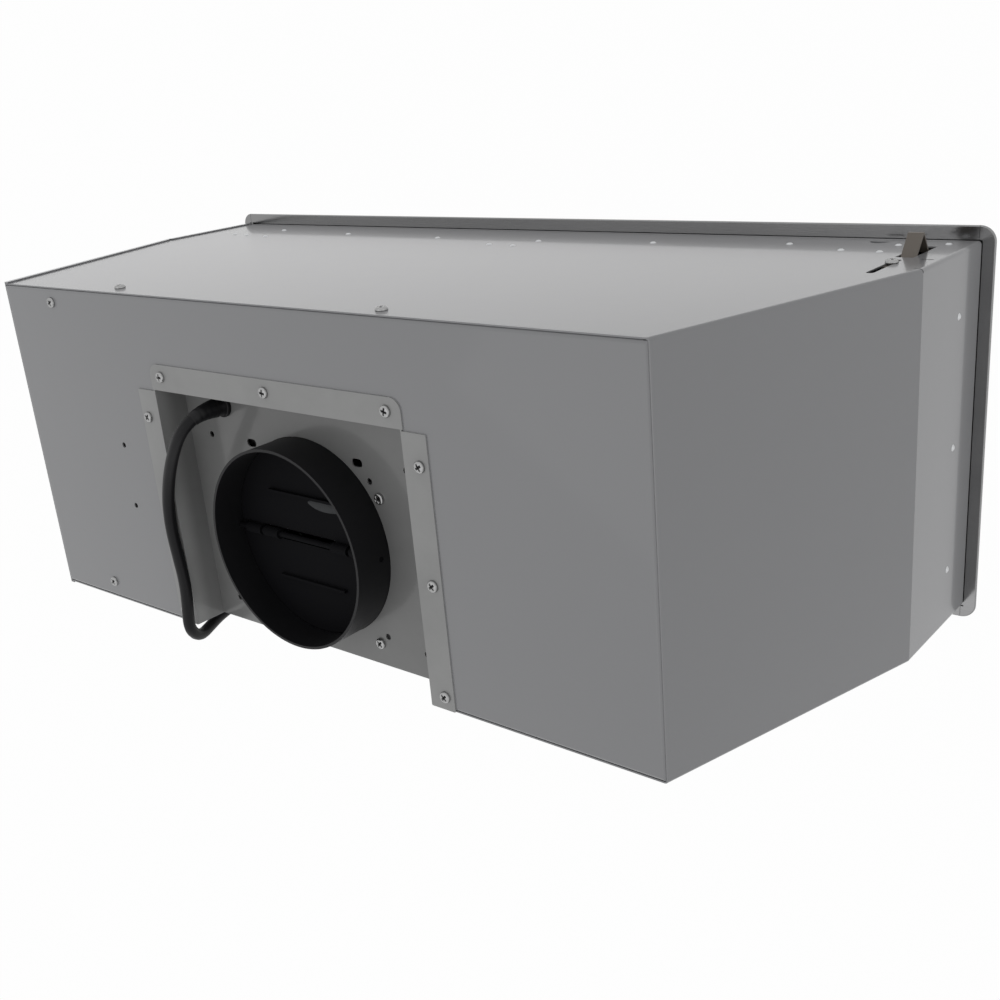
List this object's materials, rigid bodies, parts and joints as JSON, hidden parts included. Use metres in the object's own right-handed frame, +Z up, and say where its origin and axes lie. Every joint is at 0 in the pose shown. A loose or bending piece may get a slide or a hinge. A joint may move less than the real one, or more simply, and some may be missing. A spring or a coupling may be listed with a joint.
{
  "type": "built-in insert range hood",
  "caption": "Flared sheet-metal range hood insert with a recessed round duct collar, flap damper, blower, baffle filters, push buttons, cabinet clips and mains cord.",
  "frame": {"origin": "centre of the intake face's lower surface, where the part rests and faces the cooktop once built in", "axes": "+Z up towards the duct collar, -Y towards the front of the hood, +X to the left when seen from the collar side with the recess's open end below"},
  "size_m": [0.762, 0.462, 0.3305],
  "materials": {
    "body_grey": "glossy grey enamel",
    "stainless": "bright annealed, mirror-like",
    "zinc": "zinc-coated sheet",
    "screw_steel": "bright zinc",
    "clip_steel": "taupe spring steel",
    "black_plastic": "fine grained",
    "black_gloss": "smooth",
    "cord_black": "smooth PVC",
    "brass": "plain",
    "lens": "frosted",
    "board_green": "circuit board",
    "motor_black": "satin",
    "cap_white": "smooth"
  },
  "bodies": {
    "hood": {"body_wrap": "body_grey", "left_side": "body_grey", "top_plate": "body_grey", "recess_pan": "body_grey", "face_frame": "stainless", "duct_collar": "black_plastic", "damper_spindle": "zinc", "scroll_wrap": "zinc", "scroll_side_left": "zinc", "scroll_side_right": "zinc", "motor": "motor_black", "motor_bracket": "zinc", "lamp_housing_right": "zinc", "lamp_lens_right": "lens", "lamp_board_right": "cap_white", "lamp_housing_left": "zinc", "lamp_lens_left": "lens", "lamp_board_left": "cap_white", "control_bezel": "black_gloss", "control_housing": "black_plastic", "switch_board": "board_green", "wiring_bracket": "zinc", "junction_box": "zinc", "junction_cover": "zinc", "terminal_block": "cap_white", "capacitor": "cap_white", "capacitor_strap": "zinc", "pan_screws": "screw_steel", "top_screws": "screw_steel", "collar_screws": "screw_steel", "wall_screws": "screw_steel", "motor_screws": "screw_steel", "wall_rivets": "zinc", "cord_gland": "black_plastic", "gland_nut": "black_plastic", "cord": "cord_black", "cord_coil": "cord_black", "plug": "cord_black", "plug_blades": "brass"},
    "damper_front": {"damper_flap_front": "black_plastic"},
    "damper_rear": {"damper_flap_rear": "black_plastic"},
    "blower_wheel": {"impeller": "zinc", "motor_shaft": "screw_steel"},
    "filter_right": {"filter_frame_right": "stainless", "filter_baffles_right": "stainless"},
    "filter_left": {"filter_frame_left": "stainless", "filter_baffles_left": "stainless"},
    "button_1": {"push_button_1": "black_gloss"},
    "button_2": {"push_button_2": "black_gloss"},
    "button_3": {"push_button_3": "black_gloss"},
    "button_4": {"push_button_4": "black_gloss"},
    "button_5": {"push_button_5": "black_gloss"},
    "clip_slide_front": {"clip_plate_front": "clip_steel", "clip_pin_front": "screw_steel", "clip_screw_front": "screw_steel"},
    "clip_tongue_front": {"clip_spring_front": "clip_steel"},
    "clip_slide_back": {"clip_plate_back": "clip_steel", "clip_pin_back": "screw_steel", "clip_screw_back": "screw_steel"},
    "clip_tongue_back": {"clip_spring_back": "clip_steel"}
  },
  "joints": [
    {"name": "damper_front_swing", "type": "hinge", "parent": "hood", "child": "damper_front", "pos_m": [0, 0.0425, 0.299], "axis": [-1, 0, 0], "range_deg": [0, 80]},
    {"name": "damper_rear_swing", "type": "hinge", "parent": "hood", "child": "damper_rear", "pos_m": [0, 0.0425, 0.299], "axis": [1, 0, 0], "range_deg": [0, 80]},
    {"name": "blower_spin", "type": "hinge", "parent": "hood", "child": "blower_wheel", "pos_m": [0, -0.018, 0.15], "axis": [1, 0, 0], "continuous": true},
    {"name": "filter_right_lift", "type": "hinge", "parent": "hood", "child": "filter_right", "pos_m": [-0.175, 0.124, 0.00235], "axis": [-1, 0, 0], "range_deg": [0, 12]},
    {"name": "filter_left_lift", "type": "hinge", "parent": "hood", "child": "filter_left", "pos_m": [0.175, 0.124, 0.00235], "axis": [-1, 0, 0], "range_deg": [0, 12]},
    {"name": "button_1_press", "type": "slide", "parent": "hood", "child": "button_1", "axis": [0, 0, 1], "range_m": [0, 0.0025], "stiffness_N_per_m": 300, "springref_m": -0.002},
    {"name": "button_2_press", "type": "slide", "parent": "hood", "child": "button_2", "axis": [0, 0, 1], "range_m": [0, 0.0025], "stiffness_N_per_m": 300, "springref_m": -0.002},
    {"name": "button_3_press", "type": "slide", "parent": "hood", "child": "button_3", "axis": [0, 0, 1], "range_m": [0, 0.0025], "stiffness_N_per_m": 300, "springref_m": -0.002},
    {"name": "button_4_press", "type": "slide", "parent": "hood", "child": "button_4", "axis": [0, 0, 1], "range_m": [0, 0.0025], "stiffness_N_per_m": 300, "springref_m": -0.002},
    {"name": "button_5_press", "type": "slide", "parent": "hood", "child": "button_5", "axis": [0, 0, 1], "range_m": [0, 0.0025], "stiffness_N_per_m": 300, "springref_m": -0.002},
    {"name": "clip_front_adjust", "type": "slide", "parent": "hood", "child": "clip_slide_front", "axis": [0, 0, -1], "range_m": [0, 0.008]},
    {"name": "clip_front_flex", "type": "hinge", "parent": "clip_slide_front", "child": "clip_tongue_front", "pos_m": [-0.346, -0.12925, 0.067], "axis": [1, 0, 0], "range_deg": [0, 30], "stiffness_Nm_per_rad": 0.5, "springref_deg": -5.73},
    {"name": "clip_back_adjust", "type": "slide", "parent": "hood", "child": "clip_slide_back", "axis": [0, 0, -1], "range_m": [0, 0.008]},
    {"name": "clip_back_flex", "type": "hinge", "parent": "clip_slide_back", "child": "clip_tongue_back", "pos_m": [-0.346, 0.12925, 0.067], "axis": [-1, 0, 0], "range_deg": [0, 30], "stiffness_Nm_per_rad": 0.5, "springref_deg": -5.73}
  ]
}
